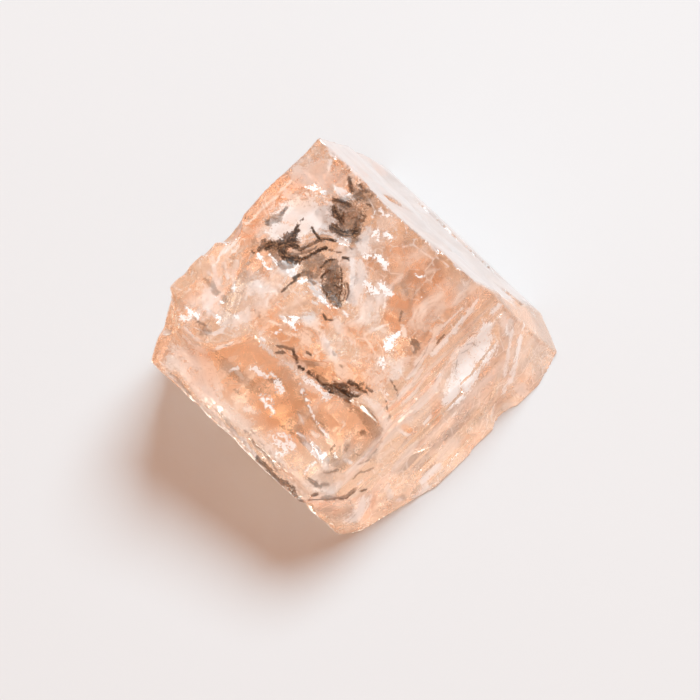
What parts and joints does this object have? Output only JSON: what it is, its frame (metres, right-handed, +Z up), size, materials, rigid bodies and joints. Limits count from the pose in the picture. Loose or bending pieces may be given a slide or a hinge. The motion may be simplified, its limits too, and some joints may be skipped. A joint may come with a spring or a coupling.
{
  "type": "topaz crystal",
  "caption": "Rough piece of imperial topaz: a leaning, see-through peach-orange block with shell-shaped breaks, a low cleavage step and thin leaves along its sides, lying on its flat base",
  "frame": {"origin": "middle of the underside of the box round the crystal, on the surface it rests on", "axes": "+Z up, the shortest side of its box; +Y along the crystal's long side, towards its high rear side; +X towards its leafed right side"},
  "size_m": [0.0218, 0.0256, 0.0149],
  "materials": {
    "topaz": "clear peach-orange crystal, glossy where it broke clean, milky and frosted where it is chipped or split"
  },
  "bodies": {
    "root": {"topaz_crystal": "topaz"}
  },
  "joints": []
}
